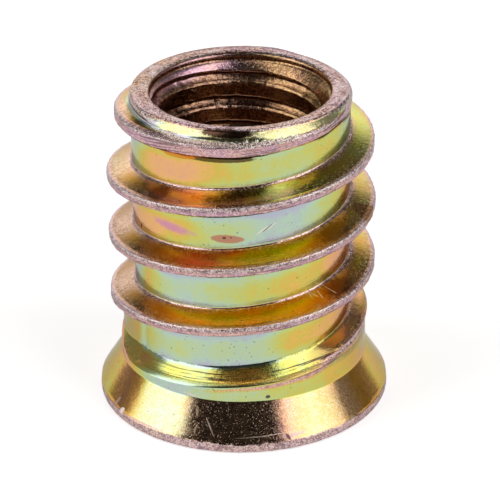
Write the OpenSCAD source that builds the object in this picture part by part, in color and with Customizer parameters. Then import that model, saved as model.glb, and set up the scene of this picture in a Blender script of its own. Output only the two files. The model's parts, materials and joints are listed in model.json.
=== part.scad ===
// Self-tapping threaded insert: a steel bush screwed into wood by its coarse outer thread, with a
// metric thread down the middle and a hexagon socket in the flanged end.
// Millimetres. +Z runs up the bore's axis from the flange face (z = 0) to the tip face.

/* [Body] */
// Length from the flange face to the tip face
body_len = 15; // [13:0.5:40]
// Diameter of the body at the bottom of the outer thread's groove
root_d = 9.9; // [9.7:0.05:10.6]
// Diameter of the plain neck above the flange's cone
neck_d = 11.36; // [11.1:0.02:11.7]
// Height of the neck, from the cone to the foot of the step that rises to the crests
neck_h = 1.6; // [1.2:0.1:4]

/* [Flange] */
// Largest diameter of the flange
flange_d = 13.44; // [12.4:0.02:18]
// Height of the flange, from its face to the foot of the neck
flange_h = 2.1; // [1.4:0.1:4]
// Height of the flange's straight edge
flange_edge_h = 0.46; // [0.3:0.02:0.8]
// Bevel on the flange's lower edge
flange_bevel = 0.1; // [0.05:0.01:0.2]

/* [Outer thread] */
// Diameter over the crests
crest_d = 12.22; // [12:0.02:14]
// Distance from one crest to the next, along the axis
lead = 2.95; // [2.6:0.05:4]
// Width of the flat on the crest
crest_w = 0.34; // [0.25:0.01:0.6]
// Slope of the flank that faces the tip, from square to the axis
tip_flank_angle = 22; // [15:1:28]
// Slope of the flank that faces the flange, from square to the axis
flange_flank_angle = 26; // [15:1:30]
// Depth of the first crest below the tip face, at the start angle
start_depth = 0.26; // [0:0.02:1]
// Angle round the axis at which the thread starts
start_angle = 270; // [0:5:355]
// Length over which the crests grow to full height
lead_in_h = 3.2; // [2:0.1:5]
// Height of the groove's middle above the cone, where the groove ends
groove_end_h = 1.3; // [0.9:0.05:2]
// Turns over which the cutter draws back out of the groove
run_out_turns = 0.165; // [0.12:0.005:0.3]
// Slope of the groove's lower flank where it comes down to the flange, from square to the axis
end_flank_angle = 48; // [30:1:52]

/* [Tip] */
// Step from the bottom of the groove out to the collar round the tip face
tip_step = 0.09; // [0.07:0.01:0.4]
// Height of the collar
tip_collar_h = 0.5; // [0.3:0.05:1]
// Bevel on the collar's outer edge
tip_bevel = 0.04; // [0.02:0.01:0.05]

/* [Metric bore] */
// Diameter of the bore's wall, at the crests of the metric thread
bore_d = 7.2; // [6.6:0.02:7.4]
// Diameter of the countersink where it meets the tip face
countersink_d = 8.28; // [7.8:0.02:8.6]
// Slope of the countersink's wall, from the axis
countersink_angle = 30; // [30:5:60]
// Pitch of the metric thread
metric_pitch = 1.25; // [1:0.05:1.5]
// Depth of the metric thread, from its crests to its root
metric_depth = 0.4; // [0.3:0.01:0.44]
// Depth of the metric groove below the tip face, at the start angle
metric_start_depth = 0.38; // [0:0.01:1]

/* [Hexagon socket] */
// Width across the socket's flats
socket_af = 8.1; // [7.8:0.02:8.2]
// Depth of the socket, measured on its flats
socket_depth = 4.2; // [3:0.1:6]
// Diameter of the bevel where the socket meets the flange face
socket_mouth_d = 9.7; // [9.5:0.02:10.4]

/* [Hidden] */

// Facets on round surfaces, and stations round one turn of the outer and of the metric groove
$fn = 96;
turn_steps = 64;
metric_turn_steps = 36;
arc_steps = 12;
// How far a cutting shape reaches past the surface that it cuts
overcut = 0.2;
// Height of the blank's step from the neck up to the crests
step_h = 1;
socket_sides = 6;
// Slope of the bevel at the socket's mouth, from square to the axis
mouth_slope = 30;
// Turns before the groove's end at which its lower flank starts to get steeper and has done so
steepen_from = 0.47;
steepen_to = 0.34;
// Least height of the groove's lower flank above the flange's cone, at the neck
cone_gap = 0.05;

root_r = root_d / 2;
neck_r = neck_d / 2;
crest_r = crest_d / 2;
flange_r = flange_d / 2;
tip_r = root_r + tip_step;
bore_r = bore_d / 2;
countersink_r = countersink_d / 2;
socket_mouth_r = socket_mouth_d / 2;
socket_flat_r = socket_af / 2;
socket_corner_r = socket_flat_r / cos(180 / socket_sides);

countersink_h = (countersink_r - bore_r) / tan(countersink_angle);
// The taper at the socket's floor is as high as it is wide
socket_floor_h = socket_flat_r - bore_r;
socket_mouth_h = (socket_mouth_r - socket_flat_r) * tan(mouth_slope);

// Height of a flank for each millimetre of its depth
tip_rise = tan(tip_flank_angle);
flange_rise = tan(flange_flank_angle);

// The groove starts where it is still clear of the tip face
neck_top_z = flange_h + neck_h;
full_turns = (body_len - start_depth - flange_h - groove_end_h) / lead - 1 / 2;
start_turn = -1 - (start_depth + crest_w + overcut) / lead;

// The groove lies between the crest at this turn and the crest one turn further down. Its lower
// flank gets steeper before the end and stays clear of the flange's cone. Where the groove runs out,
// the cutter draws back until it is clear of the crests, and its lower flank closes up a little.
cutter_r = crest_r + overcut;
function crest_z(turn) = body_len - start_depth - lead * turn;
function run_out(turn) = max(0, (turn - full_turns + run_out_turns) / run_out_turns);
function floor_r(turn) = root_r + (crest_r + overcut / 2 - root_r) * run_out(turn);
function upper_z(turn, r) = crest_z(turn) - crest_w / 2 - flange_rise * (crest_r - root_r + floor_r(turn) - r);
function closing(turn) = lead / 4 * run_out(turn) * run_out(turn);
function steepening(turn) = (turn - full_turns + steepen_from) / (steepen_from - steepen_to);
function lower_rise(turn) = tip_rise + (tan(end_flank_angle) - tip_rise) * max(0, min(1, steepening(turn)));
function foot_z(turn) = crest_z(turn + 1) + crest_w / 2 + tip_rise * (crest_r - root_r) + closing(turn);
function flank_z(turn, r) = foot_z(turn) - lower_rise(turn) * (r - floor_r(turn));
function lower_z(turn, r) = flank_z(turn, r) + max(0, flange_h + cone_gap - flank_z(turn, neck_r));
function section(turn) = [
    [cutter_r, upper_z(turn, cutter_r)],
    [floor_r(turn), upper_z(turn, floor_r(turn))],
    [floor_r(turn), lower_z(turn, floor_r(turn))],
    [cutter_r, lower_z(turn, cutter_r)]
];
function place(point, turn) = [
    point[0] * cos(start_angle - 360 * turn),
    point[0] * sin(start_angle - 360 * turn),
    point[1]
];

// The metric groove has flanks of 30 degrees and a flat root an eighth of the pitch wide. It starts in
// the countersink's air and ends in the socket's.
metric_flank_angle = 30;
metric_root_r = bore_r + metric_depth;
metric_cutter_r = bore_r - overcut;
metric_root_half = metric_pitch / 16;
metric_half = metric_root_half + (metric_root_r - metric_cutter_r) * tan(metric_flank_angle);
metric_first_turn = -1 - metric_start_depth / metric_pitch;
metric_last_turn = (body_len - socket_depth - metric_start_depth) / metric_pitch + 1;
function metric_z(turn) = body_len - metric_start_depth - metric_pitch * turn;
function metric_section(turn) = [
    [metric_root_r, metric_z(turn) + metric_root_half],
    [metric_cutter_r, metric_z(turn) + metric_half],
    [metric_cutter_r, metric_z(turn) - metric_half],
    [metric_root_r, metric_z(turn) - metric_root_half]
];

// Arc that starts at the tip face and meets the line of the crests without a corner
lead_in_rise = crest_r - tip_r;
lead_in_r = (lead_in_h * lead_in_h + lead_in_rise * lead_in_rise) / (2 * lead_in_rise);
lead_in_sweep = asin(lead_in_h / lead_in_r);
lead_in_arc = [for (i = [0:arc_steps]) let (a = lead_in_sweep * i / arc_steps)
    [crest_r - lead_in_r * (1 - cos(a)), body_len - lead_in_h + lead_in_r * sin(a)]];

// Stations along a helix, evenly spaced from one turn to another
function stations(from, to, per_turn) = let (steps = ceil((to - from) * per_turn))
    [for (i = [0:steps]) from + (to - from) * i / steps];

// Swept solid: four points at each station, joined by walls and closed by a cap at each end
module sweep(points) {
    last = len(points) / 4 - 1;
    walls = [for (i = [0:last - 1]) for (j = [0:3]) let (k = (j + 1) % 4)
        each [[4 * i + k, 4 * i + j, 4 * i + 4 + k], [4 * i + 4 + k, 4 * i + j, 4 * i + 4 + j]]];
    caps = [[0, 1, 2, 3], [for (j = [3:-1:0]) 4 * last + j]];
    polyhedron(points, concat(walls, caps));
}

// Groove of the outer thread
module groove() {
    turns = stations(start_turn, full_turns, turn_steps);
    sweep([for (turn = turns) for (point = section(turn)) place(point, turn)]);
}

// Groove of the metric thread
module metric_groove() {
    turns = stations(metric_first_turn, metric_last_turn, metric_turn_steps);
    sweep([for (turn = turns) for (point = metric_section(turn)) place(point, turn)]);
}

// Turned blank: flange, neck, the cylinder of the crests and the curve that leads in at the tip
module blank() {
    rotate_extrude() polygon(concat([
        [0, 0],
        [flange_r - flange_bevel, 0],
        [flange_r, flange_bevel],
        [flange_r, flange_edge_h],
        [neck_r, flange_h],
        [neck_r, neck_top_z],
        [crest_r, neck_top_z + step_h]
    ], lead_in_arc, [[0, body_len]]));
}

// Collar that is left standing round the tip face
module tip_collar() {
    rotate_extrude() polygon([
        [0, body_len - tip_collar_h],
        [tip_r, body_len - tip_collar_h],
        [tip_r, body_len - tip_bevel],
        [tip_r - tip_bevel, body_len],
        [0, body_len]
    ]);
}

// Bore with its countersink, and the tapered floor that joins it to the socket
module bore() {
    rotate_extrude() polygon([
        [0, -overcut],
        [bore_r, -overcut],
        [bore_r, body_len - countersink_h],
        [countersink_r, body_len],
        [countersink_r, body_len + overcut],
        [0, body_len + overcut]
    ]);
    translate([0, 0, socket_depth]) cylinder(r1 = socket_flat_r, r2 = bore_r, h = socket_floor_h);
}

// Hexagon socket, with a bevelled mouth
module socket() {
    translate([0, 0, -overcut])
        cylinder(r = socket_corner_r, h = socket_depth + overcut, $fn = socket_sides);
    cylinder(r1 = socket_mouth_r, r2 = socket_flat_r, h = socket_mouth_h);
}

module threaded_insert() {
    color("#c2a75a") difference() {
        union() {
            difference() {
                blank();
                groove();
            }
            tip_collar();
        }
        bore();
        metric_groove();
        socket();
    }
}

threaded_insert();
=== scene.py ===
"""Threaded insert for wood: a yellow-zinc-plated steel bush, shown in a plain white studio.

The piece is one turned and thread-cut body. Its outside is a surface r(turn, depth) round the axis: a turned
blank with a coarse helical groove, measured in turns from the front and in millimetres below the tip face.
"""
import json
import logging
import math
from collections.abc import Callable
from dataclasses import dataclass
from enum import Enum

import bpy
import numpy as np
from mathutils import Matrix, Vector

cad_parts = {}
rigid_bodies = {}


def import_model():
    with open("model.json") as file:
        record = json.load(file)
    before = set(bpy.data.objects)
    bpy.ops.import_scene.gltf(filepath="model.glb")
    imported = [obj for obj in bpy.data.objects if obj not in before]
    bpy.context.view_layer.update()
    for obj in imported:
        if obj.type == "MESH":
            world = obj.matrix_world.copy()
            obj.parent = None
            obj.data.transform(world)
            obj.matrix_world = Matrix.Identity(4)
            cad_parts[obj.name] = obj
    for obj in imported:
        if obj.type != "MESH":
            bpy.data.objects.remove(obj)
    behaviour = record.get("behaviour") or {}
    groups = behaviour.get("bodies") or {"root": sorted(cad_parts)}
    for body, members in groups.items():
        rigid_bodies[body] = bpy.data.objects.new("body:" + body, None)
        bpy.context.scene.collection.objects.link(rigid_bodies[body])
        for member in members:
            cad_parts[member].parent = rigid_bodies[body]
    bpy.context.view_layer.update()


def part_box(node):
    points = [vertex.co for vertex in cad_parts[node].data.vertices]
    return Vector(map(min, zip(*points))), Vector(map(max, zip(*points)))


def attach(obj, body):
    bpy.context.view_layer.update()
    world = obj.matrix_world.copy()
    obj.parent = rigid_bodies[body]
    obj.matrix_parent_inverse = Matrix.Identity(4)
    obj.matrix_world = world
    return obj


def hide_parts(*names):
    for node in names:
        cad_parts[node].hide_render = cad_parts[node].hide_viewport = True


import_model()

NODE = "threaded_insert"
MM = 0.001
FRONT_DEG = 270.0
# Slope of a metric thread's flanks, as height for each millimetre outwards
METRIC_SLOPE = math.tan(math.radians(30))

Array = np.ndarray
Colour = tuple[int, int, int]
Tone = tuple[int, ...]
Ring = tuple[Array, Array]
Wall = Callable[[Array, Array], Array]
Output = bpy.types.NodeSocket

log = logging.getLogger("threaded_insert")


class Zone(Enum):
    """Regions of the surface that take the plating differently."""

    OUTSIDE = 0
    CONE = 1
    RIM = 2
    TIP = 3
    BORE = 4
    SOCKET = 5


# ---------------------------------------------------------------- small maths


def step(low: float, high: float, x: Array) -> Array:
    """Smooth step from 0 at low to 1 at high. Low may be the larger."""
    t = np.clip((x - low) / (high - low), 0.0, 1.0)
    return t * t * (3.0 - 2.0 * t)


def window(x: Array, rise: tuple[float, float], fall: tuple[float, float]) -> Array:
    """Smooth window: up from 0 to 1 over the rise, and down to 0 over the fall."""
    return step(*rise, x) * step(*reversed(fall), x)


def mix(a: Array, b: Array, share: Array) -> Array:
    """a where share is 0, b where share is 1."""
    return a + (b - a) * share


def bump(x: Array, centre: float, width: float) -> Array:
    """Bell that is 1 at centre and falls to about 0.02 at two widths from it."""
    return np.exp(-(((x - centre) / width) ** 2))


def soft_max(a: Array, b: Array, fillet: float) -> Array:
    """Larger of a and b, with the corner between them filled."""
    gap = np.maximum(fillet - np.abs(a - b), 0.0) / fillet
    return np.maximum(a, b) + gap * gap * fillet * 0.25


def soft_min(a: Array, b: Array, fillet: float) -> Array:
    """Smaller of a and b, with the edge between them rounded."""
    return -soft_max(-a, -b, fillet)


def turn_of(azimuth_deg: Array) -> Array:
    """Turns from the front, growing with a right-hand thread's depth, from 0 to 1."""
    return ((FRONT_DEG - azimuth_deg) / 360.0) % 1.0


def side_of(turn: Array) -> Array:
    """Turns from the front, from -0.5 to 0.5: the left side is positive."""
    return np.where(turn > 0.5, turn - 1.0, turn)


@dataclass(frozen=True)
class Curve:
    """Values at given places, joined by straight lines."""

    places: tuple[float, ...]
    values: tuple[float, ...]

    def at(self, x: Array) -> Array:
        """Value at x."""
        return np.interp(x, self.places, self.values)


class Grain:
    """Seeded value noise on a lattice that closes round the axis."""

    CELLS = 256

    def __init__(self, seed: int) -> None:
        """Draws the lattice from the seed."""
        self.values = np.random.default_rng(seed).uniform(-1.0, 1.0, (self.CELLS, self.CELLS))

    def at(self, turn: Array, depth: Array, cells: int, pitch: float) -> Array:
        """Noise from -1 to 1.

        Args:
            turn: place round the axis, in turns.
            depth: place along the axis, in millimetres.
            cells: cells in one turn.
            pitch: length of a cell along the axis, in millimetres.

        Returns:
            One value for each place.
        """
        u, v = np.broadcast_arrays((turn % 1.0) * cells, np.asarray(depth) / pitch)
        i, j = np.floor(u).astype(int), np.floor(v).astype(int)
        fu, fv = u - i, v - j
        fu, fv = fu * fu * (3 - 2 * fu), fv * fv * (3 - 2 * fv)
        i0, i1 = i % cells % self.CELLS, (i + 1) % cells % self.CELLS
        j0, j1 = j % self.CELLS, (j + 1) % self.CELLS
        w = self.values
        return mix(mix(w[i0, j0], w[i1, j0], fu), mix(w[i0, j1], w[i1, j1], fu), fv)


# ---------------------------------------------------------------- form


@dataclass(frozen=True)
class Blank:
    """Sizes of the turned blank, in millimetres."""

    length: float
    flange_r: float
    rim_h: float = 0.46
    cone_top: float = 2.1
    neck_r: float = 5.68
    step_foot: float = 3.7
    step_h: float = 1.0
    crest_r: float = 6.1

    def radius(self, depth: Array) -> Array:
        """Radius above the cone: the neck, the step up to the crests, and the crests' cylinder."""
        rise = (self.length - depth - self.step_foot) / self.step_h
        return mix(self.neck_r, self.crest_r, np.clip(rise, 0, 1))


@dataclass(frozen=True)
class OuterThread:
    """The coarse thread and the way it starts and ends, in millimetres and turns.

    A turn s follows the ridge and is 0 where its middle passes the front under the tip face.
    """

    lead: float = 2.95
    start_depth: float = 0.26
    root_r: float = 4.95
    land: float = 0.34
    fillet: float = 0.02
    edge: float = 0.04
    # Height of each flank for each millimetre outwards
    tip_rise: float = 0.397
    flange_rise: float = 0.5
    # The last turn's lower wall: its slope, what is added further round, and where
    end_rise: float = 1.06
    end_rise_more: float = 0.22
    steep: tuple[float, float] = (2.845, 2.915)
    steeper: tuple[float, float] = (3.0, 3.1)
    end_turns: float = 3.344
    run_out: float = 0.165
    # Where the crest falls to the neck
    fall: tuple[float, float] = (3.3, 3.75)
    # The ridge's start: its first turn, how far it hangs below its helix there, and over how many turns
    first_turn: float = -0.27
    hang: float = 0.585
    hang_turns: float = 0.35
    wider_land: float = 0.15
    # The land's edges before the front: depths at the front and growth for each turn, and the least lower depth
    early_upper: tuple[float, float] = (0.60, 1.45)
    early_lower: tuple[float, float] = (1.08, 2.3)
    early_least: float = 0.25
    # What the crest's radius lacks at the start
    growth: Curve = Curve(
        (-0.27, -0.16, -0.08, 0.0, 0.07, 0.14, 0.25, 0.37, 0.5, 0.7, 0.9, 1.1),
        (1.10, 1.06, 1.02, 0.93, 0.80, 0.63, 0.43, 0.28, 0.18, 0.09, 0.03, 0.0),
    )

    def lag(self, s: Array) -> Array:
        """How far the ridge runs below its helix near its start."""
        past = np.where(s >= 0.0, 1.0 - s / self.hang_turns, 1.0 - s / self.first_turn)
        return self.hang * np.clip(past, 0.0, 1.0) ** 2

    def centre(self, s: Array) -> Array:
        """Depth of the crest's middle at s turns, with the lag at the thread's start."""
        return self.start_depth + self.lead * s + np.where(s >= 0.0, self.lag(s), 0.0)

    def land_edges(self, s: Array) -> tuple[Array, Array]:
        """Depths of the land's two edges.

        Args:
            s: turns along the ridge.

        Returns:
            The upper and the lower edge. Before the ridge passes the front they come up out of the tip's edge.
        """
        half = (self.land + self.wider_land * np.clip(1.0 - s, 0.0, 1.0)) / 2
        (upper, upper_growth), (lower, lower_growth) = self.early_upper, self.early_lower
        early = upper + upper_growth * s, np.maximum(lower + lower_growth * s, self.early_least)
        return np.where(s < 0.0, early[0], self.centre(s) - half), np.where(s < 0.0, early[1], self.centre(s) + half)

    def lower_rise(self, tau: Array) -> Array:
        """Drop of the groove's lower wall for each millimetre outwards: steeper in the last turn."""
        steep = self.end_rise + self.end_rise_more * step(*self.steeper, tau)
        return mix(self.tip_rise, steep, step(*self.steep, tau))

    def corner(self, tau: Array, crest_r: float) -> Array:
        """Depth of the corner between the groove's floor and its lower wall."""
        rise = self.land / 2 + self.tip_rise * (crest_r - self.root_r)
        return self.start_depth + self.lead * (tau + 1.0) - rise


@dataclass(frozen=True)
class TipEdge:
    """Rounded edge of the tip face and the collar under it, in turns from the front and millimetres."""

    face_r: float = 4.89
    face_lack: Curve = Curve(
        (-0.45, -0.4, -0.3, -0.22, -0.14, -0.06, 0.05, 0.11, 0.17),
        (0, 0.22, 0.24, 0.02, 0.14, 0.33, 0.34, 0.26, 0),
    )
    foot_depth: Curve = Curve((-0.45, -0.4, -0.3, -0.2, -0.12, 0.1, 0.18), (0.24, 0.33, 0.33, 0.24, 0.37, 0.38, 0.24))
    foot_r: Curve = Curve((-0.45, -0.4, -0.3, -0.2), (5.02, 5.06, 5.06, 4.99))
    bow: Curve = Curve((-0.2, -0.12, 0.1, 0.18), (1.7, 1.1, 1.1, 1.7))
    collar_h: float = 0.08
    # Millimetres outwards for each millimetre down: past the foot, and inwards under the collar
    flare: float = 6.0
    undercut: float = 3.0
    round: float = 0.03

    def profile(self, turn: Array, depth: Array) -> tuple[Array, Array]:
        """How far out the metal may reach, and the collar that stands there.

        Args:
            turn: turns from the front, from 0 to 1.
            depth: millimetres below the tip face.

        Returns:
            The limit and the collar, as radii.
        """
        side = side_of(turn)
        edge_r, foot, foot_r = self.face_r - self.face_lack.at(side), self.foot_depth.at(side), self.foot_r.at(side)
        t = np.clip(depth / foot, 0.0, 1.0)
        curve = edge_r + (foot_r - edge_r) * (1.0 - (1.0 - t) ** self.bow.at(side))
        limit = np.where(depth < foot, curve, foot_r + (depth - foot) * self.flare)
        return limit, curve - np.maximum(depth - foot - self.collar_h, 0.0) * self.undercut


class OuterSurface:
    """Radius of the outside as a function of turn and depth."""

    FAR_OUT = 9.0

    def __init__(self, blank: Blank, thread: OuterThread) -> None:
        """Keeps the sizes and seeds the roughness."""
        self.blank, self.thread, self.tip = blank, thread, TipEdge()
        self.lumps, self.chips, self.waves = Grain(11), Grain(12), Grain(13)

    def crest_radius(self, s: Array) -> Array:
        """Radius of the crest at s turns, growing at the start and falling at the end."""
        top = self.blank.crest_r - self.thread.growth.at(s)
        return mix(top, self.blank.neck_r, step(*self.thread.fall, s))

    def ridge(self, s: Array, depth: Array) -> Array:
        """Radius of the ridge: its land and its flanks.

        Args:
            s: turns along the ridge.
            depth: millimetres below the tip face.

        Returns:
            Radii, zero before the ridge starts.
        """
        th = self.thread
        upper, lower = th.land_edges(s)
        above = np.maximum(upper - depth, 0.0) / th.tip_rise
        below = np.maximum(depth - lower, 0.0) / th.flange_rise
        return np.where(s > th.first_turn, self.crest_radius(s) - np.maximum(above, below), 0.0)

    def groove(self, tau: Array, depth: Array) -> Array:
        """Radius of the groove: its floor and its walls, with the run-out.

        Args:
            tau: turns along the groove.
            depth: millimetres below the tip face.

        Returns:
            Radii, far out past the groove's end.
        """
        th, b = self.thread, self.blank
        run = np.clip((tau - th.end_turns + th.run_out) / th.run_out, 0.0, 1.0)
        back = (b.crest_r + 0.1 - th.root_r) * run
        floor = th.root_r + back
        closing = th.lead / 4 * run * run
        lower = floor + (depth - th.corner(tau, b.crest_r) + closing) / th.lower_rise(tau)
        upper = b.crest_r + back - (depth - th.centre(tau) - th.land / 2) / th.flange_rise
        r = soft_max(floor, np.where(tau >= 0.0, lower, 0.0), th.fillet)
        r = soft_max(r, np.where(tau > 1.0, upper, 0.0), th.fillet)
        return np.where(tau >= th.end_turns, self.FAR_OUT, r)

    def radius(self, turn: Array, depth: Array) -> Array:
        """Radius of the finished surface, with its roughness.

        Args:
            turn: turns from the front, from 0 to 1.
            depth: millimetres below the tip face.

        Returns:
            Radii in millimetres.
        """
        th = self.thread
        turn, depth = np.broadcast_arrays(turn, np.asarray(depth, float))
        r = self.groove(turn + np.floor((depth - th.start_depth) / th.lead - turn), depth)
        for number in (-1, 0, 1):
            s = turn + number
            s = np.where(s > 1.0, th.first_turn, s) if number == 1 else s
            r = soft_max(r, self.ridge(s, depth), th.fillet)
        limit, collar = self.tip.profile(turn, depth)
        r = soft_min(soft_max(r, collar, self.tip.round), limit, self.tip.round)
        r = soft_min(r, self.crest_limit(turn, depth), th.edge)
        return r + self.roughness(turn, depth, r)

    def crest_limit(self, turn: Array, depth: Array) -> Array:
        """Largest radius that the blank and the lead-in leave at each place."""
        s = turn + np.floor((depth - self.thread.start_depth) / self.thread.lead - turn + 0.5)
        return np.minimum(self.blank.radius(depth), self.crest_radius(np.clip(s, -0.2, 3.0)) + 0.02)

    def roughness(self, turn: Array, depth: Array, r: Array) -> Array:
        """Small lumps, mostly along the crests.

        Args:
            turn: turns from the front.
            depth: millimetres below the tip face.
            r: radii without the lumps.

        Returns:
            Heights in millimetres.
        """
        crest = step(5.85, 6.05, r) + step(5.15, 5.3, r) * step(1.4, 1.1, depth)
        fine = self.lumps.at(turn, depth, 250, 0.11) + 0.6 * self.chips.at(turn, depth, 150, 0.22)
        return 0.016 * np.clip(crest, 0.0, 1.0) * fine + 0.007 * self.waves.at(turn, depth, 34, 1.1)


@dataclass(frozen=True)
class BoreThread:
    """The metric thread in the bore, in millimetres."""

    pitch: float = 1.25
    crest_r: float = 3.62
    root_r: float = 4.0
    # Radius at which the crests would be an eighth of the pitch wide
    full_crest_r: float = 3.32
    phase: float = 1.0
    start_z: float = 4.65
    # Raggedness of the crests' edges: height, cells round the bore and length of a cell
    ragged: tuple[tuple[float, int, float], ...] = ((0.03, 70, 0.6), (0.02, 190, 0.3))
    # Mouth: a short wall, a fine tool groove under it and the countersink, as radii at depths
    mouth_r: float = 4.14
    mouth: Curve = Curve((0.0, 0.26, 0.31, 0.37, 0.43, 0.90, 1.40), (4.14, 4.07, 4.11, 4.08, 3.97, 3.62, 3.30))

    def radius(self, turn: Array, depth: Array, torn: Array) -> Array:
        """Radius of the bore's wall.

        Args:
            turn: turns from the front.
            depth: millimetres below the tip face.
            torn: raggedness of the crests' edges, in millimetres.

        Returns:
            Radii in millimetres.
        """
        crest_half = self.pitch / 8 + (self.crest_r - self.full_crest_r) * METRIC_SLOPE
        off = (depth - self.phase - self.pitch * turn + self.pitch / 2) % self.pitch - self.pitch / 2
        out = np.maximum(np.abs(off + torn) - crest_half, 0.0) / METRIC_SLOPE
        wall = np.minimum(self.crest_r + out, self.root_r)
        return soft_max(wall, self.mouth.at(depth), 0.02)


@dataclass(frozen=True)
class Socket:
    """The hexagon socket in the flange face, in millimetres."""

    flat_r: float = 4.05
    depth: float = 4.2
    mouth_r: float = 4.85
    mouth_slope: float = math.tan(math.radians(30))
    corner_cut: float = 0.03

    def hexagon(self, azimuth_deg: Array) -> Array:
        """Radius of the hexagon, with two corners on the X axis and slightly rounded corners."""
        corner_r = self.flat_r / math.cos(math.radians(30)) - self.corner_cut
        return np.minimum(self.flat_r / np.cos(np.radians(azimuth_deg % 60.0 - 30.0)), corner_r)


# ---------------------------------------------------------------- mesh


class RingMesh:
    """Builds a closed mesh from rings of points round the axis."""

    def __init__(self) -> None:
        """Starts empty."""
        self.points: list[Array] = []
        self.zones: list[Array] = []
        self.faces: list[tuple[int, ...]] = []
        self.count = 0

    def ring(self, azimuth_deg: Array, r: Array, z: Array, zone: Zone) -> Array:
        """Adds one ring.

        Args:
            azimuth_deg: places round the axis.
            r: radii in millimetres.
            z: heights in millimetres.
            zone: region of the surface.

        Returns:
            The numbers of its points.
        """
        a = np.radians(azimuth_deg)
        r, z = np.broadcast_to(r, a.shape), np.broadcast_to(z, a.shape)
        self.points.append(np.stack([r * np.cos(a), r * np.sin(a), z], axis=1))
        self.zones.append(np.full(len(a), zone.value))
        self.count += len(a)
        return np.arange(self.count - len(a), self.count)

    def add_face(self, *corners: int) -> None:
        """Adds a face, without its repeated corners, if three or more are left."""
        kept = [c for i, c in enumerate(corners) if c != corners[i - 1]]
        if len(kept) > 2:
            self.faces.append(tuple(int(c) for c in reversed(kept)))

    def join(self, upper: Array, lower: Array) -> None:
        """Joins two rings of the same count, or a ring to one with half as many points.

        Args:
            upper: point numbers of one ring.
            lower: point numbers of the other.
        """
        n, m = len(upper), len(lower)
        if n == m:
            for j in range(n):
                k = (j + 1) % n
                self.add_face(upper[j], lower[j], lower[k], upper[k])
            return
        if n > m:
            for j in range(m):
                a, b, c = 2 * j, 2 * j + 1, (2 * j + 2) % n
                self.add_face(upper[a], lower[j], upper[b])
                self.add_face(upper[b], lower[j], lower[(j + 1) % m])
                self.add_face(upper[b], lower[(j + 1) % m], upper[c])
            return
        for j in range(n):
            a, b, c = 2 * j, 2 * j + 1, (2 * j + 2) % m
            self.add_face(upper[j], lower[a], lower[b])
            self.add_face(upper[j], lower[b], upper[(j + 1) % n])
            self.add_face(upper[(j + 1) % n], lower[b], lower[c])

    def stack(self, start: Array, azimuth_deg: Array, rings: list[Ring], zone: Zone, up: bool = False) -> Array:
        """Adds rings one after another, each joined to the one before it.

        Args:
            start: point numbers of the ring that the first one is joined to.
            azimuth_deg: places round the axis.
            rings: radii and heights of each ring, in millimetres.
            zone: region of the surface.
            up: whether each ring lies on the upper side of the one before it.

        Returns:
            The point numbers of the last ring.
        """
        for r, z in rings:
            ring = self.ring(azimuth_deg, r, z, zone)
            self.join(*((ring, start) if up else (start, ring)))
            start = ring
        return start

    def weave(self, rows: list[Array], shift: int, missing: Array) -> None:
        """Joins neighbouring rows that wind round the axis.

        Args:
            rows: point numbers of each row.
            shift: how many places further in the list a row goes on after one turn.
            missing: the ring that stands for rows outside the list.
        """
        def after(number: int) -> int:
            """First point of the row that this one goes on as."""
            go_on = number + shift
            return (rows[go_on] if 0 <= go_on < len(rows) else missing)[0]

        for i in range(len(rows) - 1):
            here, there = rows[i], rows[i + 1]
            for j in range(len(here) - 1):
                self.add_face(here[j], there[j], there[j + 1], here[j + 1])
            self.add_face(here[-1], there[-1], after(i + 1), after(i))

    def build(self, name: str) -> bpy.types.Object:
        """Makes the object, in metres and smooth-shaded.

        Args:
            name: name of the piece.

        Returns:
            The object, with each point's zone as an attribute.
        """
        mesh = bpy.data.meshes.new(name)
        mesh.from_pydata((np.vstack(self.points) * MM).tolist(), [], self.faces)
        mesh.validate()
        mesh.polygons.foreach_set("use_smooth", np.ones(len(mesh.polygons), bool))
        zone = mesh.attributes.new("zone", "FLOAT", "POINT")
        zone.data.foreach_set("value", np.concatenate(self.zones).astype(np.float32))
        mesh.update()
        piece = bpy.data.objects.new(name, mesh)
        bpy.context.scene.collection.objects.link(piece)
        return piece


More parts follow.
